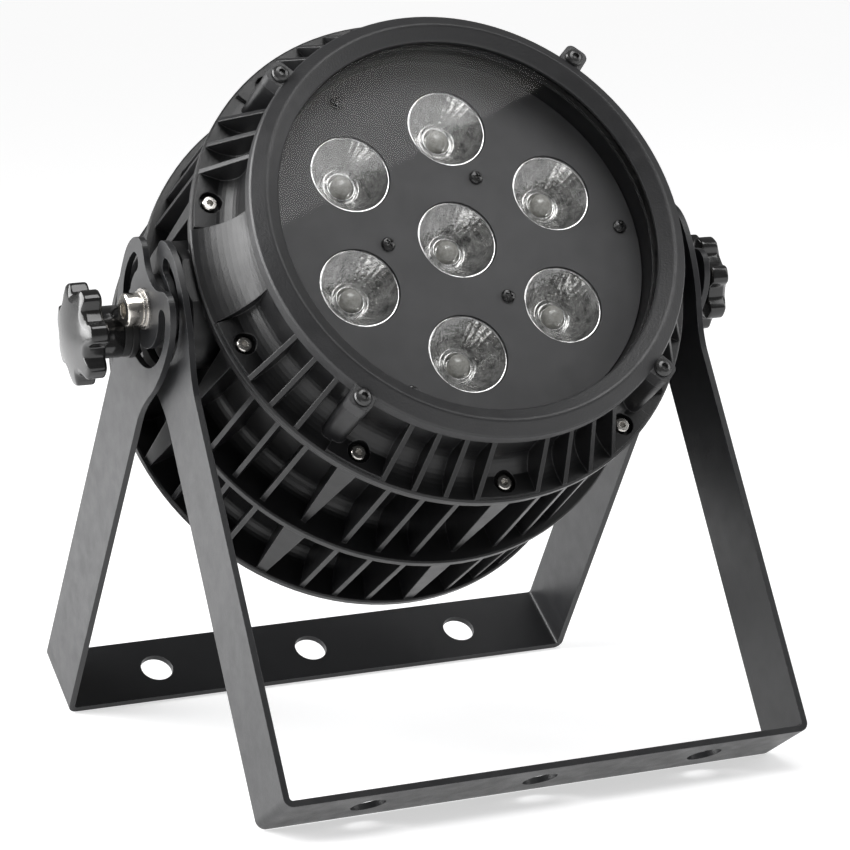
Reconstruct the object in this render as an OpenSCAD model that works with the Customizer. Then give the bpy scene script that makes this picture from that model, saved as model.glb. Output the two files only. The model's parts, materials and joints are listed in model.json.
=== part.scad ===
// Seven-lens par can light with a die-cast finned body and a double yoke.
// Millimetres. +X is to the right seen from the front, the lenses face -Y and up,
// +Z is up and the floor that both yokes stand on is z = 0.

/* [Yokes] */
// Width of the flat bar that both yokes are bent from
bar_w = 32.5; // [30:0.5:34]
// Thickness of the yoke plate
bar_t = 2.5; // [2.2:0.1:2.8]
// Outside bend radius at the yoke corners
bend_r = 3.8; // [3.2:0.1:6]
// Width across the outside of the outer yoke, which stands at the rear
outer_yoke_w = 234.2; // [233.6:0.1:236]
// Pivot to the outside of the outer yoke's cross bar
outer_yoke_len = 214.9; // [205:0.1:225]
// Lean of the outer yoke behind the vertical
rear_splay = 34.5; // [25:0.5:45]
// Width across the outside of the inner yoke, which stands at the front
inner_yoke_w = 222.6; // [221.8:0.1:223.4]
// Lean of the inner yoke in front of the vertical
front_splay = 29.6; // [25:0.1:40]
// Diameter of the three fixing holes in each cross bar
bar_hole_d = 14; // [10:0.5:16]
// Distance between the fixing holes
bar_hole_pitch = 72; // [50:1:80]

/* [Pivot] */
// Diameter of the pivot bolts
pivot_bolt_d = 8; // [6:1:8]
// Diameter of the pivot bore in the yoke plates
pivot_bore_d = 8.1; // [8.04:0.02:8.2]
// Radius of the curved clamping slots
slot_r = 19.3; // [19:0.1:19.6]
// Width of the curved clamping slots
slot_w = 7.5; // [7:0.1:8]
// Angle from the top of the plate to the centre of each slot end
slot_end = 60.5; // [58:0.5:70]

/* [Head] */
// Upward tilt of the head
head_tilt = 31.9; // [0:0.1:45]
// Outside radius of the bezel ring
bezel_r = 90; // [89:0.5:92]
// Radius of the clear opening in the bezel
opening_r = 78.5; // [78:0.1:80]
// Outside radius of the front flange
flange_r = 103.6; // [103:0.1:105]
// Outside radius of the middle cooling ring
mid_ring_r = 106.6; // [105:0.1:107]
// Outside radius of the rear cooling ring
rear_ring_r = 104; // [103.5:0.1:106]
// Outside radius of the body between the fins
barrel_r = 88; // [87.6:0.1:89]
// Thickness of a cooling fin at its outer edge
fin_t = 2; // [1.4:0.1:2.4]

/* [Optics] */
// Visible diameter of each lens
lens_d = 32.2; // [28:0.1:32.4]
// Radius of the ring of six lenses
lens_ring_r = 48.7; // [47:0.1:50]
// Turn of the ring of lenses about the head's axis
lens_turn = 20.3; // [0:0.1:60]

/* [Knobs] */
// Diameter across the lobes of a clamping knob
knob_d = 40.6; // [36:0.2:42]
// Height of the bush under each knob
bush_h = 3; // [2:0.1:6]

/* [Hidden] */

bar_in = outer_yoke_len - bar_t;
pivot_z = outer_yoke_len * cos(rear_splay) + bar_w / 2 * sin(rear_splay);
inner_yoke_len = (pivot_z - bar_w / 2 * sin(front_splay)) / cos(front_splay);

// Faces across the pivot, as distances from the middle of the light
plate_out = outer_yoke_w / 2;
plate_in = plate_out - bar_t;
inner_out = inner_yoke_w / 2;
inner_in = inner_out - bar_t;
disc_t = 1;
boss_x = inner_in - disc_t;

// Knob stack, measured out from the outer yoke
washer_h = 2.5;
bush_r = 10.2;
hub_r = 10.3;
hub_h = 10;
star_h = 10.4;
// Angle of the clamping studs about the pivot, in the head's frame
stud_a = -91;
stud_r = 3;

// Shift that puts the origin under the middle of the whole light
rear_y = outer_yoke_len * sin(rear_splay) + bar_w / 2 * cos(rear_splay);
front_y = inner_yoke_len * sin(front_splay) + bar_w / 2 * cos(front_splay);
shift_y = -(rear_y - front_y) / 2;

// Levels along the head's axis, from the pivot
seam_z = 23.5;
flange_z = 26.5;
pad_z = 28;
rim_z = 52;
glass_z = 53;
glass_t = 4;
mask_z = 40.5;
mask_t = 2;
web_z = 18;
web_t = 5;
mid_z = -31;
rear_z = -87;
cover_z = -91;
back_z = -94;

casting_black = [0.09, 0.09, 0.1];
steel_black = [0.13, 0.13, 0.14];

function arc(cx, cy, r, a0, a1, n) =
  [for (i = [0:n]) let (a = a0 + (a1 - a0) * i / n) [cx + r * cos(a), cy + r * sin(a)]];
function catmull(a, b, c, d, t) =
  0.5 * (2 * b + (c - a) * t + (2 * a - 5 * b + 4 * c - d) * t * t + (3 * b - a - 3 * c + d) * t * t * t);
function smooth(p, n) =
  [for (i = [1:len(p) - 3]) for (k = [0:n - 1]) catmull(p[i - 1], p[i], p[i + 1], p[i + 2], k / n)];

module pivot_frame() translate([0, shift_y, pivot_z]) children();
module head() pivot_frame() rotate([90 - head_tilt, 0, 0]) children();
module rear_frame() pivot_frame() rotate([rear_splay, 0, 0]) children();
module front_frame() pivot_frame() rotate([-front_splay, 0, 0]) children();
// A cylinder along X
module rod(r, x0, x1) translate([x0, 0, 0]) rotate([0, 90, 0]) cylinder(r = r, h = x1 - x0, $fn = 64);
module polar(a, r) rotate([0, 0, a]) translate([r, 0, 0]) children();
// The place of a knob's axis in the head's frame
module at_stud() translate([0, slot_r * cos(stud_a), slot_r * sin(stud_a)]) children();
// Points +Z outwards along the left or the right of the pivot axis
module outward(side) rotate([0, side * 90, 0]) children();
flange_angles = [for (i = [0:9]) 18 + 36 * i];
lug_angles = [46.9, 133.1, 226.9, 313.1];
lens_spots = concat([[0, 0]], [for (i = [0:5]) [lens_ring_r, lens_turn + 60 * i]]);
mask_spots = [[29.7, 60], [29.7, 180], [29.7, 300], [71.3, 120], [71.3, 240], [71.3, 0]];
cover_angles = [for (i = [0:7]) 22.5 + 45 * i];
pillar_spots = [[44, 34], [-44, 34], [44, -34], [-44, -34]];
gland_spots = [[-38, -28], [38, -28], [-15, -46], [15, -46]];
function near(a, b, d) = abs(((a - b + 540) % 360) - 180) < d;

// ---- Yokes ----
half_top = [[16.25, -60], [16.25, -50], [16.3, -43], [17.6, -36], [20.2, -29], [23.2, -22], [25.4, -14.5], [26.8, -7],
  [27.2, 0], [26.8, 7], [25, 13], [21.9, 17.6], [18.2, 20.2], [14.4, 20.3], [11.2, 18.4], [8.2, 16], [4.4, 14.2], [0, 13.6], [-4.4, 14.2]];
module leg_outline(len) {
  k = bar_w / 32.5;
  right = smooth(half_top, 4);
  polygon(concat([[bar_w / 2, -len]], [for (p = right) [p[1] < -44 ? bar_w / 2 : p[0] * k, p[1]]],
    [for (i = [len(right) - 1:-1:0]) [right[i][1] < -44 ? -bar_w / 2 : -right[i][0] * k, right[i][1]]], [[-bar_w / 2, -len]]));
}
module yoke_side(w, len) {
  translate([w / 2 - bar_t, 0, 0]) rotate([90, 0, 90]) linear_extrude(bar_t) leg_outline(len - bend_r);
  translate([w / 2 - bend_r, -bar_w / 2, -(len - bend_r)]) rotate([-90, 0, 0])
    rotate_extrude(angle = 90, $fn = 96) translate([bend_r - bar_t, 0]) square([bar_t, bar_w]);
}
module slot_cut(w) {
  a = 180 - slot_end;
  rotate([0, 90, 0]) rotate([0, 0, -a]) translate([0, 0, w / 2 - bar_t - 1])
    rotate_extrude(angle = 2 * a, $fn = 96) translate([slot_r - slot_w / 2, 0]) square([slot_w, bar_t + 2]);
  for (s = [-1, 1]) translate([0, s * slot_r * sin(a), -slot_r * cos(a)]) rod(slot_w / 2, w / 2 - bar_t - 1, w / 2 + 1);
}
module yoke(w, len) {
  difference() {
    union() {
      yoke_side(w, len);
      mirror([1, 0, 0]) yoke_side(w, len);
      translate([-(w / 2 - bend_r), -bar_w / 2, -len]) cube([w - 2 * bend_r, bar_w, bar_t]);
    }
    slot_cut(w);
    mirror([1, 0, 0]) slot_cut(w);
    rod(pivot_bore_d / 2, -w / 2 - 1, w / 2 + 1);
    for (i = [-1:1]) translate([i * bar_hole_pitch, 0, -len - 1]) cylinder(d = bar_hole_d, h = bar_t + 2, $fn = 64);
  }
}
module outer_yoke() color(steel_black) rear_frame() yoke(outer_yoke_w, outer_yoke_len);
module inner_yoke() color(steel_black) front_frame() yoke(inner_yoke_w, inner_yoke_len);

// ---- Bezel, glass and mask ----
module bezel_ring() color(casting_black) head() difference() {
  union() {
    rotate_extrude($fn = 180) polygon([[81.4, rim_z], [bezel_r - 0.8, rim_z], [bezel_r, rim_z + 0.8], [bezel_r, 57.4],
      [bezel_r - 0.5, 58.3], [85.1, 61.4], [84.3, 61.7], [83.5, 61.4], [opening_r + 0.6, 58.7], [opening_r, 58.2],
      [opening_r, glass_z + glass_t], [81.4, glass_z + glass_t]]);
    for (a = lug_angles) rotate([0, 0, a]) translate([0, 0, rim_z]) linear_extrude(6.2) post_outline();
  }
  for (a = lug_angles) polar(a, 92.8) translate([0, 0, rim_z - 1]) cylinder(r = 2.2, h = 9, $fn = 32);
}
// Outline of a bezel lug and of the post behind it
module post_outline() polygon(concat([[86, -4.8]], arc(94.8, -2, 2.8, -90, 0, 6), arc(94.8, 2, 2.8, 0, 90, 6), [[86, 4.8]]));
module bezel_screws() color([0.05, 0.05, 0.05]) head() for (a = lug_angles) polar(a, 92.8) difference() {
  union() {
    translate([0, 0, 58.2]) rotate_extrude($fn = 48) polygon([[0, 0], [3.6, 0], [3.6, 0.5], [3.2, 1.3], [2.4, 1.9], [1.4, 2.2], [0, 2.3]]);
    translate([0, 0, 42]) cylinder(r = 1.95, h = 16.4, $fn = 32);
  }
  translate([0, 0, 59.2]) cylinder(r = 1.45, h = 2, $fn = 6);
}
module front_glass() color([0.8, 0.85, 0.86, 0.3]) head() translate([0, 0, glass_z]) cylinder(r = 81, h = glass_t, $fn = 180);
module glass_gasket() color([0.1, 0.1, 0.1]) head() translate([0, 0, rim_z]) difference() {
  cylinder(r = 81, h = glass_z - rim_z, $fn = 180);
  translate([0, 0, -1]) cylinder(r = 78.8, h = 3, $fn = 180);
}
module mask_plate() color([0.2, 0.2, 0.21]) head() difference() {
  translate([0, 0, mask_z]) cylinder(r = 78.1, h = mask_t, $fn = 180);
  for (p = lens_spots) polar(p[1], p[0]) translate([0, 0, mask_z - 1]) cylinder(r = lens_d / 2 + 0.3, h = 4, $fn = 96);
  for (p = mask_spots) polar(p[1], p[0]) translate([0, 0, mask_z - 1]) cylinder(r = 1.7, h = 4, $fn = 32);
}
module mask_plate_screws() color([0.07, 0.07, 0.07]) head() for (p = mask_spots) polar(p[1], p[0]) difference() {
  union() {
    translate([0, 0, mask_z + mask_t]) rotate_extrude($fn = 48) polygon([[0, 0], [2.8, 0], [2.8, 0.7], [2.3, 1.4], [1.2, 1.8], [0, 1.9]]);
    translate([0, 0, mask_z - 8]) cylinder(r = 1.45, h = 8 + mask_t + 0.2, $fn = 32);
  }
  for (r = [0, 90]) rotate([0, 0, r + 30]) translate([-1.5, -0.35, mask_z + mask_t + 0.8]) cube([3, 0.7, 2]);
}
module mask_plate_pillars() color([0.75, 0.75, 0.75]) head() for (p = mask_spots) polar(p[1], p[0]) difference() {
  translate([0, 0, web_z + 2]) cylinder(r = 3, h = mask_z - web_z - 2, $fn = 32);
  translate([0, 0, mask_z - 10]) cylinder(r = 1.6, h = 11, $fn = 32);
}

// ---- Optics ----
module lenses() color([0.9, 0.93, 0.95, 0.5]) head() for (p = lens_spots) polar(p[1], p[0])
  rotate_extrude($fn = 96) polygon(concat([[3.4, 25], [5.9, 25], [9.6, 29.5], [12.9, 34.5], [lens_d / 2 - 0.4, 39.4], [lens_d / 2, 39.6], [lens_d / 2, 41.7]],
    [for (i = [1:8]) let (r = lens_d / 2 * (1 - i / 8)) [r, 42.3 - 0.6 * pow(2 * r / lens_d, 2)]], [[0, 30.5], [3, 29.5]]));
module lens_holders() color([0.08, 0.08, 0.08]) head() for (p = lens_spots) polar(p[1], p[0])
  rotate_extrude($fn = 96) polygon([[6.4, 20], [17.6, 20], [17.6, 40.4], [16.4, 40.4], [16.4, 39.3], [13.4, 34.4], [10.1, 29.3], [6.4, 24.8]]);
module led_emitters() color([0.95, 0.9, 0.6]) head() for (p = lens_spots) polar(p[1], p[0]) {
  translate([-2.7, -2.7, 20]) cube([5.4, 5.4, 1.2]);
  translate([0, 0, 21]) rotate_extrude($fn = 48) polygon(concat([[0, 0]], arc(0, 0, 2.4, 0, 90, 8)));
}
module led_board() color([0.85, 0.85, 0.83]) head() difference() {
  translate([0, 0, web_z + 0.4]) cylinder(r = 76, h = 1.6, $fn = 120);
  translate([0, 74, web_z]) cylinder(r = 7, h = 3, $fn = 48);
}
module thermal_pad() color([0.6, 0.62, 0.65]) head() difference() {
  translate([0, 0, web_z]) cylinder(r = 75, h = 0.4, $fn = 120);
  translate([0, 74, web_z - 1]) cylinder(r = 7, h = 3, $fn = 48);
}

// ---- Front casting ----
module front_housing() color(casting_black) head() difference() {
  union() {
    rotate_extrude($fn = 180) polygon(concat([[opening_r, 38], [opening_r, rim_z], [87.5, rim_z]],
      [for (p = arc(99.5, 38.5, 12, 180, 270, 10)) p],
      [[flange_r - 0.7, flange_z], [flange_r, flange_z - 0.7], [flange_r, seam_z], [91.2, seam_z], [91.2, seam_z + 1.5],
       [88.2, seam_z + 1.5], [88.2, seam_z], [84, seam_z], [84, 35.5]]));
    // Screw pads
    for (a = flange_angles) rotate([0, 0, a - 6.6]) rotate_extrude(angle = 13.2, $fn = 180) polygon([[92, 25.7], [102.4, 25.7], [102.4, pad_z], [92, pad_z]]);
    // Gusset fins from the bezel down to the flange
    for (a = flange_angles) for (k = [1:4]) let (g = a + 7.2 * k)
      if (!near(g, 0, 13) && !near(g, 180, 13) && !near(g, 46.8, 3) && !near(g, 133.2, 3) && !near(g, 226.8, 3) && !near(g, 313.2, 3))
        rotate([0, 0, g]) rotate([90, 0, 0]) translate([0, 0, -fin_t / 2]) linear_extrude(fin_t)
          polygon([[86, 25.4], [102.6, 25.4], [102.6, 27.2], [88.6, 51.4], [86, 51.4]]);
    // Smooth flared panels beside the pivots
    for (a = [0, 180]) rotate([0, 0, a - 11]) rotate_extrude(angle = 22, $fn = 180)
      polygon(concat([[86, 25.3], [flange_r - 0.3, 25.3]], [for (p = arc(117.4, 53, 30, 242, 184, 12)) p], [[86, 50.9]]));
    // Posts behind the bezel lugs
    for (a = lug_angles) rotate([0, 0, a]) translate([0, 0, 25.8]) linear_extrude(rim_z - 25.8) post_outline();
  }
  for (a = flange_angles) polar(a, 96.3) {
    translate([0, 0, seam_z - 1]) cylinder(r = 2, h = 4, $fn = 32);
    translate([0, 0, 25]) cylinder(r = 4.5, h = 12, $fn = 48);
  }
  for (a = lug_angles) polar(a, 92.8) translate([0, 0, 41]) cylinder(r = 2.05, h = 12, $fn = 32);
}
module housing_gasket() color([0.12, 0.12, 0.12]) head() translate([0, 0, seam_z]) difference() {
  cylinder(r = 91.1, h = 1.5, $fn = 180);
  translate([0, 0, -1]) cylinder(r = 88.3, h = 4, $fn = 180);
}
module flange_screws() color([0.78, 0.78, 0.76]) head() for (a = flange_angles) polar(a, 96.3) difference() {
  union() {
    translate([0, 0, 25]) cylinder(r = 3, h = 2.5, $fn = 48);
    translate([0, 0, 27.5]) cylinder(r1 = 3, r2 = 2.6, h = 0.4, $fn = 48);
    translate([0, 0, 10]) cylinder(r = 1.75, h = 15.1, $fn = 32);
  }
  translate([0, 0, 26.1]) cylinder(r = 1.45, h = 3, $fn = 6);
}

// ---- Rear casting ----
module rear_housing() color(casting_black) head() difference() {
  union() {
    rotate_extrude($fn = 180) polygon(concat(
      [[0, web_z - web_t], [84, web_z - web_t], [84, rear_z], [rear_ring_r - 0.6, rear_z], [rear_ring_r, rear_z + 0.6], [rear_ring_r, rear_z + 3.1], [rear_ring_r - 0.6, rear_z + 3.7]],
      arc(barrel_r + 5, rear_z + 9.7, 6, 270, 180, 6), [[barrel_r, mid_z - 4], [mid_ring_r - 0.6, mid_z - 4], [mid_ring_r, mid_z - 3.4], [mid_ring_r, mid_z - 0.6], [mid_ring_r - 0.6, mid_z]],
      arc(barrel_r + 8, mid_z + 8, 8, 270, 180, 8), [[barrel_r, seam_z - 3], [102.4, seam_z - 3], [102.9, seam_z - 2.5], [102.9, seam_z], [84, seam_z], [84, web_z], [0, web_z]]));
    for (a = flange_angles) {
      for (k = [10.1, 18, 25.9]) let (g = a + k) {
        // Fins from the flange to the middle ring
        if (!near(g, 0, 14) && !near(g, 180, 14)) rotate([0, 0, g]) rotate([90, 0, 0]) translate([0, 0, -fin_t / 2]) linear_extrude(fin_t)
          polygon([[86, seam_z - 2], [101.8, seam_z - 2], [103.8, mid_z - 1], [86, mid_z - 1]]);
        // Fins from the middle ring to the rear ring
        rotate([0, 0, g]) rotate([90, 0, 0]) translate([0, 0, -fin_t / 2]) linear_extrude(fin_t)
          polygon([[86, mid_z - 3], [104.2, mid_z - 3], [102.6, rear_z + 2], [86, rear_z + 2]]);
      }
      // Tapered screw columns in line with the flange screws
      rotate([0, 0, a]) translate([86, 0, 0]) rotate([90, 0, 90]) linear_extrude(16.2)
        polygon([[-3.9, seam_z - 1], [3.9, seam_z - 1], [3.9, seam_z - 4], [1, mid_z - 1], [-1, mid_z - 1], [-3.9, seam_z - 4]]);
      rotate([0, 0, a]) translate([86, 0, 0]) rotate([90, 0, 90]) linear_extrude(16.8)
        polygon([[-5, mid_z - 3], [5, mid_z - 3], [5, mid_z - 5], [2, rear_z + 2], [-2, rear_z + 2], [-5, mid_z - 5]]);
    }
    // Pivot bosses, cut flat where they meet the front casting
    for (s = [-1, 1]) intersection() {
      outward(s) translate([0, 0, 85]) {
        cylinder(r = 25, h = boss_x - 86.5, $fn = 96);
        translate([0, 0, boss_x - 86.5]) cylinder(r1 = 25, r2 = 23.5, h = 1.5, $fn = 96);
      }
      translate([-150, -40, -40]) cube([300, 80, 40 + seam_z - 0.1]);
    }
    // Columns inside for the rear cover screws
    for (a = cover_angles) polar(a, 80) translate([0, 0, rear_z + 3]) cylinder(r = 4.8, h = 23, $fn = 32);
  }
  for (a = flange_angles) polar(a, 96.3) translate([0, 0, 8]) cylinder(r = 1.9, h = 20, $fn = 32);
  for (a = cover_angles) polar(a, 80) translate([0, 0, rear_z - 1]) cylinder(r = 1.6, h = 18, $fn = 32);
  translate([0, 0, rear_z - 1]) difference() {
    cylinder(r = 91, h = 2.5, $fn = 180);
    translate([0, 0, -1]) cylinder(r = 88, h = 5, $fn = 180);
  }
  for (s = [-1, 1]) {
    outward(s) translate([0, 0, 94]) cylinder(r = pivot_bolt_d / 2 + 0.05, h = 20, $fn = 64);
    at_stud() outward(s) translate([0, 0, 92]) cylinder(r = stud_r + 0.05, h = 20, $fn = 64);
  }
  translate([0, 74, 0]) cylinder(r = 6, h = 40, $fn = 48);
}
module rear_gasket() color([0.12, 0.12, 0.12]) head() translate([0, 0, rear_z]) difference() {
  cylinder(r = 90.9, h = 1.5, $fn = 180);
  translate([0, 0, -1]) cylinder(r = 88.1, h = 4, $fn = 180);
}
module rear_cover() color(casting_black) head() difference() {
  rotate_extrude($fn = 180) polygon([[0, rear_z - 3.5], [67, rear_z - 3.5], [69, rear_z - 2], [69, rear_z], [99.2, rear_z], [99.8, rear_z - 0.6],
    [99.8, cover_z + 0.8], [99, cover_z], [75, cover_z], [72, back_z], [0, back_z]]);
  for (a = cover_angles) polar(a, 80) translate([0, 0, cover_z - 1]) cylinder(r = 2, h = 6, $fn = 32);
  translate([-20, 28, back_z - 1]) cube([40, 16, 9]);
  translate([-22.1, 25.9, back_z - 1]) cube([44.2, 20.2, 2.5]);
  for (x = [-24, -8, 8, 24]) translate([x, 14, back_z - 1]) cylinder(r = 4, h = 9, $fn = 48);
  for (p = gland_spots) translate([p[0], p[1], back_z - 1]) cylinder(r = 7.7, h = 9, $fn = 48);
  translate([0, -8, back_z - 1]) cylinder(r = 5.1, h = 9, $fn = 48);
  for (x = [-11, 11]) translate([x, 60, back_z - 1]) cylinder(r = 1.6, h = 9, $fn = 32);
}
module rear_cover_screws() color([0.78, 0.78, 0.76]) head() for (a = cover_angles) polar(a, 80) difference() {
  union() {
    translate([0, 0, cover_z - 2.4]) cylinder(r = 3.2, h = 2.4, $fn = 48);
    translate([0, 0, cover_z - 0.1]) cylinder(r = 1.5, h = 16, $fn = 32);
  }
  translate([0, 0, cover_z - 3.4]) cylinder(r = 1.45, h = 2.4, $fn = 6);
}

// ---- Inside the rear casting ----
module power_supply() color([0.7, 0.7, 0.72]) head() {
  translate([-50, -29, -21]) cube([100, 58, 34]);
  for (x = [-30:12:30]) translate([x, -27, -22.4]) cube([3, 54, 1.6]);
}
module driver_board() color([0.1, 0.35, 0.2]) head() {
  translate([-50, -38, -45]) cube([100, 76, 1.6]);
  translate([-40, -26, -57]) cube([22, 18, 12.2]);
  translate([4, -30, -53]) cube([30, 12, 8.2]);
  for (x = [-30:20:30]) translate([x, 18, -59]) cylinder(r = 6, h = 14.2, $fn = 32);
}
module board_pillars() color([0.85, 0.75, 0.4]) head() for (p = pillar_spots) translate([p[0], p[1], -43.4]) cylinder(r = 3, h = 56.4, $fn = 32);
module display_window() color([0.25, 0.3, 0.32, 0.6]) head() translate([-22, 26, back_z]) cube([44, 20, 1.5]);
module display_board() color([0.1, 0.3, 0.2]) head() {
  translate([-34, 4, -86.4]) cube([68, 44, 1.6]);
  translate([-19, 29, -91]) cube([38, 14, 4.7]);
  for (x = [-24, -8, 8, 24]) translate([x, 14, -88.1]) cylinder(r = 3, h = 1.8, $fn = 32);
}
module gland_bodies() color([0.08, 0.08, 0.08]) head() for (p = gland_spots) translate([p[0], p[1], 0]) difference() {
  union() {
    translate([0, 0, back_z - 5]) cylinder(r = 10.8, h = 5, $fn = 6);
    translate([0, 0, back_z - 12]) cylinder(r = 8.4, h = 7.5, $fn = 48);
    translate([0, 0, back_z - 0.5]) cylinder(r = 7.5, h = 12, $fn = 48);
  }
  translate([0, 0, back_z - 13]) cylinder(r = 5.6, h = 8, $fn = 48);
  translate([0, 0, back_z - 13]) cylinder(r = 4, h = 30, $fn = 48);
}
module gland_seals() color([0.15, 0.15, 0.15]) head() for (p = gland_spots) translate([p[0], p[1], back_z - 12]) difference() {
  cylinder(r = 5.5, h = 7, $fn = 48);
  translate([0, 0, -1]) cylinder(r = 4, h = 9, $fn = 48);
}
module gland_nuts() color([0.08, 0.08, 0.08]) head() for (p = gland_spots) translate([p[0], p[1], 0]) difference() {
  union() {
    translate([0, 0, back_z - 12]) cylinder(r = 10.8, h = 6.5, $fn = 6);
    translate([0, 0, back_z - 18]) cylinder(r1 = 6.2, r2 = 9.2, h = 6.1, $fn = 48);
  }
  translate([0, 0, back_z - 12.1]) cylinder(r = 8.6, h = 8, $fn = 48);
  translate([0, 0, back_z - 19]) cylinder(r = 4.6, h = 9, $fn = 48);
}
module breather_valve() color([0.1, 0.1, 0.1]) head() translate([0, -8, 0]) {
  translate([0, 0, back_z - 3.5]) rotate_extrude($fn = 48) polygon([[0, 0], [5.6, 0], [6.8, 1], [6.8, 3.5], [0, 3.5]]);
  translate([0, 0, back_z - 0.1]) cylinder(r = 4.9, h = 8, $fn = 48);
}
module safety_eye() color([0.6, 0.6, 0.6]) head() difference() {
  union() {
    translate([-16, 54, back_z - 3]) cube([32, 12, 3]);
    translate([-1.5, 54, back_z - 14]) cube([3, 12, 12]);
    translate([0, 60, back_z - 12]) rod(8, -1.5, 1.5);
  }
  translate([0, 60, back_z - 12]) rod(5, -3, 3);
  for (x = [-11, 11]) translate([x, 60, back_z - 4]) cylinder(r = 2.1, h = 5, $fn = 32);
}
module safety_eye_screws() color([0.78, 0.78, 0.76]) head() for (x = [-11, 11]) translate([x, 60, 0]) difference() {
  union() {
    translate([0, 0, back_z - 5.4]) cylinder(r = 3.2, h = 2.4, $fn = 48);
    translate([0, 0, back_z - 3.1]) cylinder(r = 1.5, h = 9, $fn = 32);
  }
  translate([0, 0, back_z - 6.4]) cylinder(r = 1.45, h = 2.4, $fn = 6);
}
module push_button(x) color([0.55, 0.55, 0.56]) head() translate([x, 14, 0]) {
  translate([0, 0, back_z - 1.5]) rotate_extrude($fn = 48) polygon([[0, 0], [3.1, 0], [3.6, 0.5], [3.6, 5.1], [0, 5.1]]);
  translate([0, 0, rear_z - 3.5]) cylinder(r = 5, h = 1.2, $fn = 48);
}
module menu_button() push_button(-24);
module up_button() push_button(-8);
module down_button() push_button(8);
module enter_button() push_button(24);

// ---- Pivot hardware ----
module both() for (s = [-1, 1]) outward(s) children();
module pivot_bolts() color([0.8, 0.8, 0.78]) head() both() difference() {
  union() {
    translate([0, 0, plate_out + 2.3]) rotate_extrude($fn = 64) polygon([[0, 0], [6.5, 0], [6.5, 5.6], [5.9, 6.2], [0, 6.2]]);
    translate([0, 0, 95]) cylinder(r = pivot_bolt_d / 2, h = plate_out + 2.4 - 95, $fn = 64);
  }
  translate([0, 0, plate_out + 4.9]) cylinder(r = 3.46, h = 5, $fn = 6);
}
module ring(ri, ro, h) difference() {
  cylinder(r = ro, h = h, $fn = 64);
  translate([0, 0, -1]) cylinder(r = ri, h = h + 2, $fn = 64);
}
module pivot_spring_washers() color([0.7, 0.7, 0.7]) head() both() translate([0, 0, plate_out + 1]) difference() {
  ring(4.15, 7, 1.3);
  rotate([0, 0, 100]) translate([3, -0.4, -1]) cube([6, 0.8, 4]);
}
module pivot_flat_washers() color([0.8, 0.8, 0.8]) head() both() translate([0, 0, plate_out]) ring(4.15, 8, 1);
module yoke_spacers() color([0.1, 0.1, 0.1]) head() both() translate([0, 0, inner_out]) ring(4.15, 13, plate_in - inner_out - 0.02);
module friction_discs() color([0.1, 0.1, 0.1]) head() both() translate([0, 0, boss_x]) ring(4.15, 14, disc_t);

// ---- Clamping knobs ----
module knob_place(s) head() at_stud() outward(s) translate([0, 0, plate_out]) children();
module washer() ring(stud_r + 0.35, 10.8, washer_h);
module bush(h) translate([0, 0, washer_h]) ring(stud_r + 0.35, bush_r, h);
module star(h) rotate([0, 0, 90]) difference() {
  union() {
    circle(r = 16.2, $fn = 96);
    for (i = [0:6]) rotate(i * 360 / 7) translate([knob_d / 2 - 4.8, 0]) circle(r = 4.8, $fn = 48);
  }
  for (i = [0:6]) rotate((i + 0.5) * 360 / 7) translate([20.7, 0]) circle(r = 4.7, $fn = 48);
}
// turn sets which way the lobes point
module knob(base, turn) translate([0, 0, washer_h + base]) difference() {
  union() {
    cylinder(r = hub_r, h = hub_h + 1, $fn = 96);
    intersection() {
      rotate([0, 0, turn]) translate([0, 0, hub_h]) linear_extrude(star_h) star();
      translate([0, 0, hub_h]) rotate_extrude($fn = 96) polygon([[0, 0], [18.9, 0], [knob_d / 2, 1.3], [knob_d / 2, 7], [18.8, 8.6], [12, 9.9], [0, star_h]]);
    }
  }
  translate([0, 0, -1]) cylinder(r = 4.6, h = 15, $fn = 48);
}
module stud(base) {
  translate([0, 0, washer_h + base]) cylinder(r = 4.6, h = 14, $fn = 48);
  translate([0, 0, 94.5 - plate_out]) cylinder(r = stud_r, h = plate_out - 94.5 + washer_h + base + 2, $fn = 48);
}
module left_washer() color([0.08, 0.08, 0.08]) knob_place(-1) washer();
module right_washer() color([0.08, 0.08, 0.08]) knob_place(1) washer();
module left_bush() color([0.06, 0.06, 0.06]) knob_place(-1) bush(bush_h);
module left_knob() color([0.05, 0.05, 0.05]) knob_place(-1) knob(bush_h, -65);
module left_knob_stud() color([0.6, 0.6, 0.6]) knob_place(-1) stud(bush_h);
module right_bush() color([0.06, 0.06, 0.06]) knob_place(1) bush(bush_h);
module right_knob() color([0.05, 0.05, 0.05]) knob_place(1) knob(bush_h, 30);
module right_knob_stud() color([0.6, 0.6, 0.6]) knob_place(1) stud(bush_h);

outer_yoke();
inner_yoke();
bezel_ring();
bezel_screws();
front_glass();
glass_gasket();
mask_plate();
mask_plate_screws();
mask_plate_pillars();
lenses();
lens_holders();
led_emitters();
led_board();
thermal_pad();
front_housing();
housing_gasket();
flange_screws();
rear_housing();
rear_gasket();
rear_cover();
rear_cover_screws();
power_supply();
driver_board();
board_pillars();
display_window();
display_board();
gland_bodies();
gland_nuts();
gland_seals();
breather_valve();
safety_eye();
safety_eye_screws();
pivot_bolts();
pivot_spring_washers();
pivot_flat_washers();
yoke_spacers();
friction_discs();
left_washer();
left_bush();
left_knob();
left_knob_stud();
right_washer();
right_bush();
right_knob();
right_knob_stud();
menu_button();
up_button();
down_button();
enter_button();
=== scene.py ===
"""Par can light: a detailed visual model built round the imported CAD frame."""

import bpy
import bmesh
import json
import math
import random
from mathutils import Matrix, Vector


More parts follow.
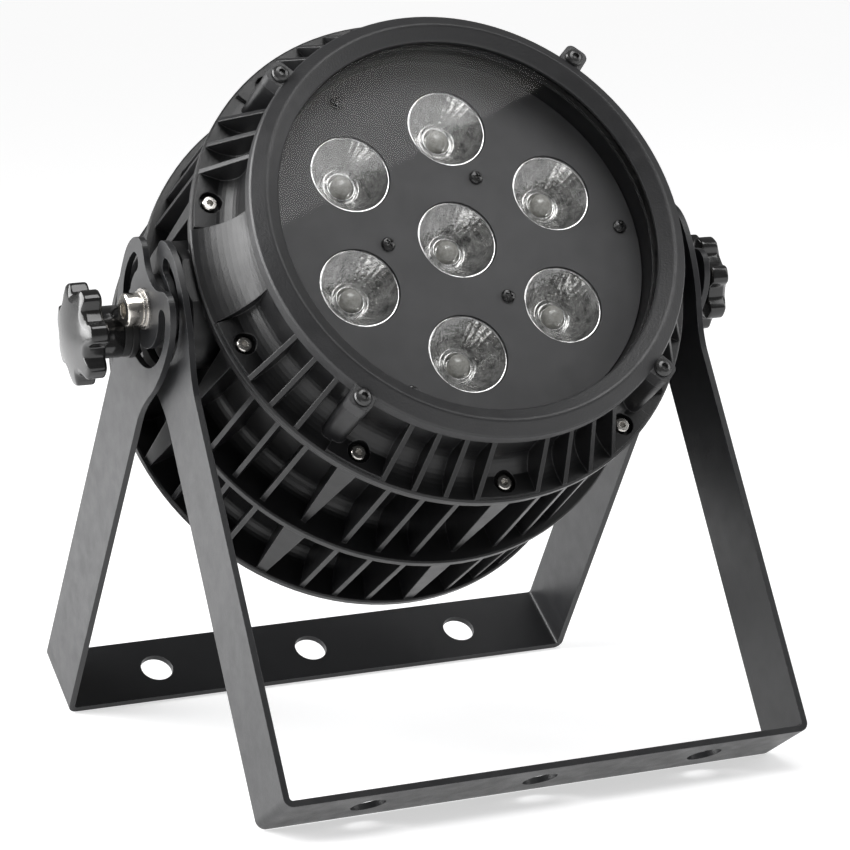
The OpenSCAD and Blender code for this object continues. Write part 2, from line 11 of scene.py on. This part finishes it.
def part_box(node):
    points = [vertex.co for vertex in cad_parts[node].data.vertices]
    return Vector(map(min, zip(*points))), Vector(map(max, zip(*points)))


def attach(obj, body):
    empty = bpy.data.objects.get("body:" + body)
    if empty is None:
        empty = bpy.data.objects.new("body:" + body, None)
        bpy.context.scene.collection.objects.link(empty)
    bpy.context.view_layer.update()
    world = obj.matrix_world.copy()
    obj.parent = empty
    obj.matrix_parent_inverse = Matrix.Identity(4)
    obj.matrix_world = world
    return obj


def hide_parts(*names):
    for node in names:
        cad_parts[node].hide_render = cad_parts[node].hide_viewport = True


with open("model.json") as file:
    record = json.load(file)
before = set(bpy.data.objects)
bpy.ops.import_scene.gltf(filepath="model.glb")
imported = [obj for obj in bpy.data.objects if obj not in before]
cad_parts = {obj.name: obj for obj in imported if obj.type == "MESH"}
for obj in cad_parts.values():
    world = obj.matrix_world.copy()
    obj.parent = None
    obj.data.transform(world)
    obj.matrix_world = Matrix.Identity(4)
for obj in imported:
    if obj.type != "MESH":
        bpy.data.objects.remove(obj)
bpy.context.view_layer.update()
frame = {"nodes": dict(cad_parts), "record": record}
MM = 0.001
JOINTS = {j["name"]: j for j in frame["record"]["behaviour"]["joints"]}
PIVOT = Vector(JOINTS["head_tilt"]["pos_m"])
TILT = 31.9
HEAD = Matrix.Translation(PIVOT) @ Matrix.Rotation(math.radians(90 - TILT), 4, "X") @ Matrix.Scale(MM, 4)
scene = bpy.context.scene


# ---------------------------------------------------------------- camera
def make_camera():
    cam = bpy.data.cameras.new("view_camera")
    ob = bpy.data.objects.new("view_camera", cam)
    scene.collection.objects.link(ob)
    yaw, pitch, roll = (math.radians(a) for a in (24.94, -10.38, -1.05))
    fwd = Vector((math.sin(yaw) * math.cos(pitch), math.cos(yaw) * math.cos(pitch), math.sin(pitch)))
    right = Vector((math.cos(yaw), -math.sin(yaw), 0))
    up = right.cross(fwd)
    r2 = right * math.cos(roll) + up * math.sin(roll)
    u2 = up * math.cos(roll) - right * math.sin(roll)
    m = Matrix((r2, u2, -fwd)).transposed().to_4x4()
    m.translation = Vector((-0.57918 + PIVOT.x, -1.24842 + PIVOT.y, 0.38177))
    ob.matrix_world = m
    cam.sensor_width = 36
    cam.lens = 3480.24 / 850 * 36
    cam.clip_start, cam.clip_end = 0.05, 60
    scene.camera = ob


make_camera()


# ---------------------------------------------------------------- node helpers
class Mat:
    """A small builder for one node material."""

    def __init__(self, name):
        self.m = bpy.data.materials.new(name)
        self.m.use_nodes = True
        self.nt = self.m.node_tree
        self.b = self.nt.nodes["Principled BSDF"]
        self.out = self.nt.nodes["Material Output"]

    def n(self, kind, **kw):
        nd = self.nt.nodes.new(kind)
        for k, v in kw.items():
            if k in nd.inputs:
                nd.inputs[k].default_value = v
            else:
                setattr(nd, k, v)
        return nd

    def link(self, a, b):
        self.nt.links.new(a, b)

    def coords(self):
        return self.n("ShaderNodeTexCoord").outputs["Object"]

    def noise(self, scale, detail=4.0, rough=0.6, vec=None, dist=0.0):
        nd = self.n("ShaderNodeTexNoise")
        nd.inputs["Scale"].default_value = scale
        nd.inputs["Detail"].default_value = detail
        nd.inputs["Roughness"].default_value = rough
        nd.inputs["Distortion"].default_value = dist
        self.link(vec or self.coords(), nd.inputs["Vector"])
        return nd.outputs["Fac"]

    def ramp(self, fac, stops):
        r = self.n("ShaderNodeValToRGB")
        cr = r.color_ramp
        while len(cr.elements) < len(stops):
            cr.elements.new(0.5)
        for e, (p, c) in zip(cr.elements, stops):
            e.position = p
            e.color = (*c, 1) if len(c) == 3 else c
        self.link(fac, r.inputs["Fac"])
        return r.outputs["Color"]

    def span(self, fac, lo, hi, a=0.0, b=1.0):
        r = self.n("ShaderNodeMapRange")
        for k, v in (("From Min", a), ("From Max", b), ("To Min", lo), ("To Max", hi)):
            r.inputs[k].default_value = v
        self.link(fac, r.inputs["Value"])
        return r.outputs["Result"]

    def math(self, op, a, b=None):
        r = self.n("ShaderNodeMath", operation=op)
        for i, v in enumerate((a, b)):
            if v is None:
                continue
            if isinstance(v, (int, float)):
                r.inputs[i].default_value = v
            else:
                self.link(v, r.inputs[i])
        return r.outputs[0]

    def mix(self, fac, a, b):
        r = self.n("ShaderNodeMix", data_type="RGBA")
        for s, v in ((r.inputs[0], fac), (r.inputs[6], a), (r.inputs[7], b)):
            if isinstance(v, (int, float)):
                s.default_value = v
            elif isinstance(v, tuple):
                s.default_value = (*v, 1)
            else:
                self.link(v, s)
        return r.outputs[2]

    def bevel(self, radius, samples=4):
        nd = self.n("ShaderNodeBevel", samples=samples)
        nd.inputs["Radius"].default_value = radius
        return nd

    def edges(self, bevel):
        """1 on rounded edges and 0 on flats."""
        g = self.n("ShaderNodeNewGeometry")
        d = self.n("ShaderNodeVectorMath", operation="DOT_PRODUCT")
        self.link(bevel.outputs[0], d.inputs[0])
        self.link(g.outputs["Normal"], d.inputs[1])
        return self.span(d.outputs["Value"], 0, 1, 0.995, 0.86)

    def bump(self, height, strength, distance, normal=None):
        nd = self.n("ShaderNodeBump")
        nd.inputs["Strength"].default_value = strength
        nd.inputs["Distance"].default_value = distance
        self.link(height, nd.inputs["Height"])
        if normal is not None:
            self.link(normal, nd.inputs["Normal"])
        self.link(nd.outputs["Normal"], self.b.inputs["Normal"])
        return nd

    def set(self, **kw):
        for k, v in kw.items():
            s = self.b.inputs[k.replace("_", " ")]
            if isinstance(v, tuple) and len(v) == 3 and s.type == "RGBA":
                v = (*v, 1)
            s.default_value = v
        return self


def coat_paint(name, dark, light, rough, grain, grain_depth, edge_wear_highlight_col, edge_wear_highlight_amt, bev, spec=0.5):
    """Powder coat: a fine pebble, cloudy gloss and lightened edges, speckled like worn paint and also serving as a
    painted edge highlight.
    """
    m = Mat(name)
    v = m.coords()
    fine = m.noise(grain, 3, 0.55, v)
    cloud = m.noise(34, 3, 0.6, v)
    speck = m.noise(grain * 0.7, 2, 0.9, v)
    base = m.mix(m.span(cloud, 0, 1, 0.3, 0.7), dark, light)
    bv = m.bevel(bev)
    edge = m.edges(bv)
    # Lighter speckled edges: worn paint chips, and also a painted edge highlight standing in for light caught on the
    # rounded edges.
    edge_wear_and_highlight = m.math("MULTIPLY", edge, m.span(speck, 0.15, 1.0, 0.42, 0.68))
    col = m.mix(m.math("MULTIPLY", edge_wear_and_highlight, edge_wear_highlight_amt), base, edge_wear_highlight_col)
    m.link(col, m.b.inputs["Base Color"])
    m.link(m.span(m.noise(130, 3, 0.6, v), rough - 0.05, rough + 0.06, 0.3, 0.7), m.b.inputs["Roughness"])
    m.bump(fine, 0.5, grain_depth, bv.outputs[0])
    m.set(Specular_IOR_Level=spec)
    return m.m


def plain(name, col, rough, metal=0.0, grain=900, depth=0.00003, vary=0.15, bev=0.00025, coat=0.0, spec=0.5):
    m = Mat(name)
    v = m.coords()
    lo = tuple(c * (1 - vary) for c in col)
    hi = tuple(min(1, c * (1 + vary)) for c in col)
    m.link(m.mix(m.span(m.noise(90, 3, 0.6, v), 0, 1, 0.3, 0.7), lo, hi), m.b.inputs["Base Color"])
    m.link(m.span(m.noise(grain * 0.4, 2, 0.6, v), rough * 0.85, rough * 1.2, 0.3, 0.7), m.b.inputs["Roughness"])
    m.bump(m.noise(grain, 3, 0.6, v), 0.35, depth, m.bevel(bev).outputs[0])
    m.set(Metallic=metal, Coat_Weight=coat, Specular_IOR_Level=spec)
    return m.m


M = {}
# Edge colour and amount per coat: on the casting the lightened edge is a painted highlight; on the yoke it is paint
# chipped at the edges.
M["casting"] = coat_paint("casting_powder_coat", (0.0060, 0.0060, 0.0065), (0.0080, 0.0080, 0.0085), 0.34, 1500, 0.00012, (0.20, 0.20, 0.205), 0.42, 0.0006, spec=0.38)
M["bezel"] = coat_paint("bezel_powder_coat", (0.014, 0.014, 0.015), (0.017, 0.017, 0.018), 0.42, 1100, 0.00022, (0.16, 0.16, 0.165), 0.3, 0.0006)
M["yoke"] = coat_paint("yoke_powder_coat", (0.0115, 0.0118, 0.013), (0.0135, 0.0138, 0.015), 0.36, 1700, 0.00010, (0.30, 0.30, 0.31), 0.6, 0.00035, spec=0.44)
M["mask"] = coat_paint("mask_grain_paint", (0.052, 0.052, 0.054), (0.066, 0.066, 0.068), 0.62, 2100, 0.00008, (0.2, 0.2, 0.2), 0.15, 0.0002)
M["steel"] = plain("stainless_screw", (0.62, 0.60, 0.57), 0.24, 1.0, 1200, 0.00002, 0.12, 0.0003)
M["bolt"] = plain("turned_bolt", (0.70, 0.67, 0.62), 0.20, 1.0, 1200, 0.00002, 0.1, 0.0004)
M["washer"] = plain("washer_steel", (0.60, 0.58, 0.55), 0.27, 1.0, 1500, 0.00003, 0.15, 0.0003)
M["black_screw"] = plain("black_oxide_screw", (0.018, 0.018, 0.018), 0.28, 0.0, 1500, 0.00003, 0.2, 0.0003, spec=0.7)
M["nylon"] = plain("black_nylon", (0.020, 0.020, 0.021), 0.42, 0.0, 1400, 0.00004, 0.2, 0.0004)
M["bush"] = plain("black_bush", (0.012, 0.012, 0.012), 0.34, 0.0, 900, 0.00003, 0.2, 0.0005)
M["rubber"] = plain("black_rubber", (0.022, 0.022, 0.022), 0.75, 0.0, 1800, 0.00006, 0.2, 0.0003)
M["grey_rubber"] = plain("grey_button_rubber", (0.30, 0.30, 0.31), 0.6, 0.0, 1800, 0.00006, 0.1, 0.0004)
M["pad"] = plain("thermal_pad_grey", (0.35, 0.37, 0.40), 0.7, 0.0, 1500, 0.00006, 0.1, 0.0002)
M["holder"] = plain("lens_holder_black", (0.012, 0.012, 0.012), 0.5, 0.0, 1500, 0.00004, 0.2, 0.0002)
M["white_board"] = plain("white_solder_mask", (0.80, 0.80, 0.77), 0.4, 0.0, 700, 0.00002, 0.05, 0.0002)
M["green_board"] = plain("green_solder_mask", (0.02, 0.12, 0.06), 0.35, 0.0, 700, 0.00003, 0.2, 0.0002)
M["brass"] = plain("brass", (0.66, 0.50, 0.22), 0.3, 1.0, 900, 0.00002, 0.1, 0.0002)
M["alu"] = plain("plain_aluminium", (0.74, 0.74, 0.74), 0.36, 1.0, 700, 0.00003, 0.08, 0.0003)
M["zinc"] = plain("zinc_plate", (0.58, 0.58, 0.57), 0.3, 1.0, 500, 0.00003, 0.2, 0.0004)
M["smoke"] = plain("smoked_window", (0.01, 0.011, 0.013), 0.08, 0.0, 200, 0.000005, 0.1, 0.0003, coat=0.5)


def knob_material():
    m = Mat("knob_gloss")
    v = m.coords()
    m.link(m.mix(m.span(m.noise(60, 3, 0.6, v), 0, 1, 0.3, 0.7), (0.006, 0.006, 0.006), (0.011, 0.011, 0.011)), m.b.inputs["Base Color"])
    m.link(m.span(m.noise(220, 2, 0.5, v), 0.13, 0.21, 0.3, 0.7), m.b.inputs["Roughness"])
    m.bump(m.noise(420, 2, 0.5, v), 0.15, 0.00004)
    m.set(Specular_IOR_Level=0.6)
    return m.m


M["knob"] = knob_material()


def pane_material():
    """A flat pane: clear straight through, with its own reflections."""
    m = Mat("clear_pane")
    fr = m.n("ShaderNodeFresnel")
    fr.inputs["IOR"].default_value = 1.45
    tr = m.n("ShaderNodeBsdfTransparent")
    tr.inputs["Color"].default_value = (0.955, 0.955, 0.955, 1)
    gl = m.n("ShaderNodeBsdfGlossy")
    gl.inputs["Roughness"].default_value = 0.02
    bp = m.n("ShaderNodeBump")
    bp.inputs["Strength"].default_value = 0.02
    bp.inputs["Distance"].default_value = 0.0001
    m.link(m.noise(18, 2, 0.5), bp.inputs["Height"])
    m.link(bp.outputs["Normal"], gl.inputs["Normal"])
    mx = m.n("ShaderNodeMixShader")
    m.link(m.math("MULTIPLY", fr.outputs[0], 0.10), mx.inputs[0])
    m.link(tr.outputs[0], mx.inputs[1])
    m.link(gl.outputs[0], mx.inputs[2])
    m.link(mx.outputs[0], m.out.inputs["Surface"])
    return m.m


M["pane"] = pane_material()


def lens_material():
    m = Mat("lens_acrylic")
    m.set(Base_Color=(0.985, 0.99, 0.985), Roughness=0.02, IOR=1.49, Transmission_Weight=1.0)
    v = m.coords()
    m.bump(m.noise(900, 2, 0.5, v), 0.12, 0.00005)
    return m.m


M["lens"] = lens_material()

NODE_MAT = {
    "outer_yoke": "yoke", "inner_yoke": "yoke", "bezel_ring": "bezel", "bezel_screws": "black_screw", "front_glass": "pane",
    "glass_gasket": "rubber", "mask_plate": "mask", "mask_plate_screws": "black_screw", "mask_plate_pillars": "alu",
    "lenses": "lens", "lens_holders": "holder", "led_emitters": "white_board", "led_board": "white_board", "thermal_pad": "pad",
    "front_housing": "casting", "housing_gasket": "rubber", "flange_screws": "steel", "rear_housing": "casting", "rear_gasket": "rubber",
    "rear_cover": "casting", "rear_cover_screws": "steel", "power_supply": "alu", "driver_board": "green_board", "board_pillars": "brass",
    "display_window": "smoke", "display_board": "green_board", "gland_bodies": "nylon", "gland_nuts": "nylon", "gland_seals": "rubber",
    "breather_valve": "nylon", "safety_eye": "zinc", "safety_eye_screws": "steel", "pivot_bolts": "bolt", "pivot_spring_washers": "washer",
    "pivot_flat_washers": "washer", "yoke_spacers": "nylon", "friction_discs": "nylon", "left_washer": "bush", "left_bush": "bush",
    "left_knob": "knob", "left_knob_stud": "zinc", "right_washer": "bush", "right_bush": "bush", "right_knob": "knob",
    "right_knob_stud": "zinc", "menu_button": "grey_rubber", "up_button": "grey_rubber", "down_button": "grey_rubber", "enter_button": "grey_rubber",
}
for name, ob in frame["nodes"].items():
    for slot in ob.material_slots:
        slot.material = M[NODE_MAT[name]]
    if not ob.material_slots:
        ob.data.materials.append(M[NODE_MAT[name]])


# ---------------------------------------------------------------- mesh helpers
def make(name, verts, faces, mat, body, smooth=True, world=None):
    me = bpy.data.meshes.new(name)
    me.from_pydata([tuple(v) for v in verts], [], faces)
    if world is not None:
        me.transform(world)
    me.validate()
    ob = bpy.data.objects.new(name, me)
    scene.collection.objects.link(ob)
    me.materials.append(M[mat])
    for p in me.polygons:
        p.use_smooth = smooth
    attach(ob, body)
    return ob


# ---------------------------------------------------------------- optics
LENS_SPOTS = [(0.0, 0.0)] + [(48.7 * math.cos(math.radians(20.3 + 60 * i)), 48.7 * math.sin(math.radians(20.3 + 60 * i))) for i in range(6)]


def revolve(profile, seg, phase=0.0):
    """Rings of a closed profile that starts and may end on the axis: vertices and quads."""
    verts, faces, rings = [], [], []
    for r, z in profile:
        if r < 1e-6:
            rings.append([len(verts)])
            verts.append((0, 0, z))
        else:
            rings.append(list(range(len(verts), len(verts) + seg)))
            verts += [(r * math.cos(phase + 2 * math.pi * i / seg), r * math.sin(phase + 2 * math.pi * i / seg), z) for i in range(seg)]
    for a, b in zip(rings, rings[1:]):
        for i in range(seg):
            j = (i + 1) % seg
            if len(a) == 1 and len(b) == 1:
                continue
            if len(a) == 1:
                faces.append((a[0], b[i], b[j]))
            elif len(b) == 1:
                faces.append((a[i], b[0], a[j]))
            else:
                faces.append((a[i], b[i], b[j], a[j]))
    return verts, faces


def gather(parts):
    """Joins (verts, faces) lists that are already placed."""
    verts, faces = [], []
    for v, f in parts:
        n = len(verts)
        verts += v
        faces += [tuple(i + n for i in q) for q in f]
    return verts, faces


def moved(vf, x, y, z=0.0, turn=0.0):
    v, f = vf
    c, s = math.cos(turn), math.sin(turn)
    return [(x + c * p[0] - s * p[1], y + s * p[0] + c * p[1], z + p[2]) for p in v], f


def make_cups():
    """The mirror-bright walls of the moulded lenses: rows of small pillowed facets."""
    rows, cols = 9, 40
    verts, faces = [], []

    def wall(t):
        return 7.6 + 8.3 * t ** 0.86, 30.6 + 9.8 * t

    for k, (cx, cy) in enumerate(LENS_SPOTS):
        rnd = random.Random(11 + k)
        for r in range(rows):
            for c in range(cols):
                n0 = len(verts)
                tip = 0.10 + 0.10 * rnd.random()
                ja, jb = (rnd.random() - 0.5) * 0.10, (rnd.random() - 0.5) * 0.10
                for i in range(3):
                    for j in range(3):
                        t = (r + i / 2) / rows
                        a = 2 * math.pi * (c + j / 2 + 0.5 * (r % 2) * 0) / cols + 0.15 * k
                        rad, z = wall(t)
                        lift = tip if i == 1 and j == 1 else (tip * 0.55 if i == 1 or j == 1 else 0.0)
                        lift += ja * (i - 1) + jb * (j - 1)
                        rad -= lift * 0.76
                        z += lift * 0.65
                        verts.append((cx + rad * math.cos(a), cy + rad * math.sin(a), z))
                for i in range(2):
                    for j in range(2):
                        p = n0 + i * 3 + j
                        faces.append((p, p + 3, p + 4, p + 1))
    ob = make("lens_cups", verts, faces, "lens_silver", "head", True, HEAD)


def make_lenses():
    front, rims, wells, bulbs = [], [], [], []
    for k, (x, y) in enumerate(LENS_SPOTS):
        front.append(moved(revolve([(0, 42.3)] + [(16.1 * i / 12, 42.3 - 0.6 * (i / 12) ** 2) for i in range(1, 13)], 96), x, y))
        rims.append(moved(revolve([(16.1, 41.75), (15.6, 41.85), (15.4, 41.5), (15.9, 40.4), (16.1, 40.4), (16.1, 41.75)], 96), x, y))
        wells.append(moved(revolve([(7.6, 30.6), (7.3, 30.9), (6.9, 30.4), (6.7, 28.2), (6.3, 28.2), (6.15, 30.4), (5.9, 30.9), (5.3, 30.8), (5.0, 30.3), (4.8, 28.6), (4.1, 28.6)], 96), x, y))
        bulbs.append(moved(revolve([(4.1, 28.6), (4.15, 32.0), (4.05, 32.7), (3.7, 33.3), (3.0, 33.8), (2.0, 34.15), (1.0, 34.33), (0, 34.38)], 64), x, y))
    ob = make("lens_fronts", *gather(front), "lens_face", "head", True, HEAD)
    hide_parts("lenses")
    for n, parts, mat in (("lens_rims", rims, "lens_silver"), ("lens_wells", wells, "lens_silver"), ("lens_bulbs", bulbs, "lens_bulb")):
        make(n, *gather(parts), mat, "head", True, HEAD)


def silver_material():
    m = Mat("lens_wall_silver")
    v = m.coords()
    m.link(m.ramp(m.noise(240, 3, 0.7, v), [(0.30, (0.30, 0.30, 0.30)), (0.46, (0.72, 0.72, 0.71)), (0.60, (0.94, 0.94, 0.93)), (0.78, (0.99, 0.99, 0.99))]), m.b.inputs["Base Color"])
    m.link(m.span(m.noise(500, 2, 0.6, v), 0.05, 0.16, 0.3, 0.7), m.b.inputs["Roughness"])
    m.bump(m.noise(650, 2, 0.6, v), 0.25, 0.00006)
    m.set(Metallic=0.75)
    return m.m


def bulb_material():
    m = Mat("lens_bulb_frost")
    v = m.coords()
    m.link(m.mix(m.span(m.noise(700, 3, 0.7, v), 0, 1, 0.35, 0.65), (0.62, 0.61, 0.56), (0.86, 0.86, 0.82)), m.b.inputs["Base Color"])
    m.link(m.span(m.noise(300, 2, 0.6, v), 0.12, 0.25, 0.3, 0.7), m.b.inputs["Roughness"])
    m.bump(m.noise(900, 2, 0.6, v), 0.12, 0.00004)
    m.set(Coat_Weight=0.8)
    return m.m


def lens_face_material():
    m = Mat("lens_face_clear")
    fr = m.n("ShaderNodeFresnel")
    fr.inputs["IOR"].default_value = 1.49
    tr = m.n("ShaderNodeBsdfTransparent")
    tr.inputs["Color"].default_value = (0.98, 0.98, 0.98, 1)
    gl = m.n("ShaderNodeBsdfGlossy")
    gl.inputs["Roughness"].default_value = 0.06
    bp = m.n("ShaderNodeBump")
    bp.inputs["Strength"].default_value = 0.35
    bp.inputs["Distance"].default_value = 0.00012
    m.link(m.noise(520, 2, 0.6), bp.inputs["Height"])
    m.link(bp.outputs["Normal"], gl.inputs["Normal"])
    mx = m.n("ShaderNodeMixShader")
    m.link(fr.outputs[0], mx.inputs[0])
    m.link(tr.outputs[0], mx.inputs[1])
    m.link(gl.outputs[0], mx.inputs[2])
    m.link(mx.outputs[0], m.out.inputs["Surface"])
    return m.m


M["lens_silver"] = silver_material()
M["lens_bulb"] = bulb_material()
M["lens_face"] = lens_face_material()
make_cups()
make_lenses()


# ---------------------------------------------------------------- knobs
def knob_mesh(hub_h, turn):
    """A seven-lobed star with a crowned face and a plain hub, in millimetres along +Z from its seat."""
    n = 7 * 24
    t0 = math.radians(turn)

    def outline(a):
        t = abs(((a * 7 / (2 * math.pi)) + 0.5) % 1 - 0.5) * 2
        f = 0.5 + 0.5 * math.tanh(2.0 * math.cos(math.pi * t)) / math.tanh(2.0)
        return 15.9 + 4.4 * f

    rows = []
    ang = [2 * math.pi * i / n for i in range(n)]
    star = [outline(a) for a in ang]
    hub = [10.3] * n
    z0 = hub_h

    def row(rs, z):
        rows.append([(r * math.cos(a + t0), r * math.sin(a + t0), zz) for r, a, zz in zip(rs, ang, z)])

    flat = lambda z: [z] * n
    row([4.7] * n, flat(0.0))
    row([9.8] * n, flat(0.0))
    row([h - 0.35 for h in hub], flat(0.12))
    row(hub, flat(0.6))
    row(hub, flat(z0 * 0.5))
    row(hub, flat(z0 - 0.5))
    row([h + 0.15 for h in hub], flat(z0 - 0.05))
    row([12.6 + (s - 15.9) * 0.2 for s in star], flat(z0))
    row([s - 0.9 for s in star], flat(z0 + 0.05))
    row([s - 0.35 for s in star], flat(z0 + 0.2))
    row([s - 0.05 for s in star], flat(z0 + 0.7))
    row(star, flat(z0 + 1.4))
    row(star, flat(z0 + 4.2))
    row([s - 0.05 for s in star], flat(z0 + 6.6))
    row([s - 0.12 for s in star], flat(z0 + 7.05))
    row([s - 0.40 for s in star], flat(z0 + 7.4))
    for k in (0.93, 0.8, 0.65, 0.5, 0.35, 0.2, 0.08):
        w = k ** 1.6
        rs = [(s - 0.4) * k * w + 17.6 * k * (1 - w) for s in star]
        row(rs, [z0 + 10.2 - 2.75 * (r / 20.3) ** 2 - 0.0 * k for r in rs])
    verts = [p for r in rows for p in r]
    faces = []
    for a in range(len(rows) - 1):
        for i in range(n):
            j = (i + 1) % n
            faces.append((a * n + i, a * n + j, (a + 1) * n + j, (a + 1) * n + i))
    last = (len(rows) - 1) * n
    verts.append((0, 0, z0 + 10.2))
    for i in range(n):
        faces.append((last + i, last + (i + 1) % n, len(verts) - 1))
    return verts, faces


def make_knob(name, side, turn):
    clamp = JOINTS[f"{side}_knob_turn"]
    axis = Vector(clamp["axis"])
    lo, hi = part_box(f"{side}_knob")
    pos = Vector(clamp["pos_m"])
    seat = (hi[0] if axis.x < 0 else lo[0])
    q = axis.to_track_quat("Z", "Y").to_matrix().to_4x4()
    w = Matrix.Translation(Vector((seat, pos.y, pos.z))) @ q @ Matrix.Scale(MM, 4)
    ob = make(name, *knob_mesh(10.0, turn), "knob", f"{side}_knob", True, w)
    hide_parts(f"{side}_knob")
    return ob


make_knob("left_star_knob", "left", 7.1)
make_knob("right_star_knob", "right", 10.7)


# ---------------------------------------------------------------- stage
def area(name, loc, aim, size, power, col=(1, 1, 1), shape="RECTANGLE", size_y=None):
    li = bpy.data.lights.new(name, "AREA")
    li.shape = shape
    li.size = size
    if shape in ("RECTANGLE", "ELLIPSE"):
        li.size_y = size_y or size
    li.energy = power
    li.color = col
    ob = bpy.data.objects.new(name, li)
    scene.collection.objects.link(ob)
    ob.location = loc
    ob.rotation_mode = "QUATERNION"
    ob.rotation_quaternion = (Vector(aim) - Vector(loc)).to_track_quat("-Z", "Y")
    ob.visible_camera = False
    return ob


def make_stage():
    fm = Mat("floor_white")
    v = fm.coords()
    fm.link(fm.mix(fm.noise(3, 2, 0.5, v), (0.60, 0.60, 0.605), (0.62, 0.62, 0.625)), fm.b.inputs["Base Color"])
    # The floor glows as a painted glow standing in for the white backdrop. Emission is 0.58 within 0.28 m of the
    # origin and rises to 0.82 beyond 1 m, so the floor reads white far off while shadows near the fixture still show.
    far = fm.n("ShaderNodeVectorMath", operation="LENGTH")
    fm.link(v, far.inputs[0])
    fm.link(fm.span(far.outputs["Value"], 0.58, 0.82, 0.28, 1.0), fm.b.inputs["Emission Strength"])
    fm.set(Roughness=0.55, Specular_IOR_Level=0.2, Emission_Color=(1, 1, 1))
    me = bpy.data.meshes.new("floor")
    s = 14
    me.from_pydata([(-s, -s, 0), (s, -s, 0), (s, s, 0), (-s, s, 0)], [], [(0, 1, 2, 3)])
    me.materials.append(fm.m)
    ob = bpy.data.objects.new("floor", me)
    scene.collection.objects.link(ob)
    ob.location.z = -0.0002
    w = bpy.data.worlds.new("studio")
    scene.world = w
    w.use_nodes = True
    w.node_tree.nodes["Background"].inputs["Color"].default_value = (1, 1, 1, 1)
    w.node_tree.nodes["Background"].inputs["Strength"].default_value = 0.20
    area("top_soft", (0.25, -0.45, 1.5), (0, 0, 0.15), 0.9, 13)
    area("left_soft", (-0.80, 0.34, 0.50), (0, 0, 0.20), 0.85, 20, size_y=0.96)
    area("right_soft", (1.1, -0.5, 0.8), (0, 0, 0.15), 0.6, 5, size_y=0.9)


make_stage()
scene.view_settings.view_transform = "Standard"
scene.view_settings.look = "None"
scene.cycles.use_denoising = True
scene.cycles.max_bounces = 16
scene.cycles.transmission_bounces = 12
scene.cycles.transparent_max_bounces = 16
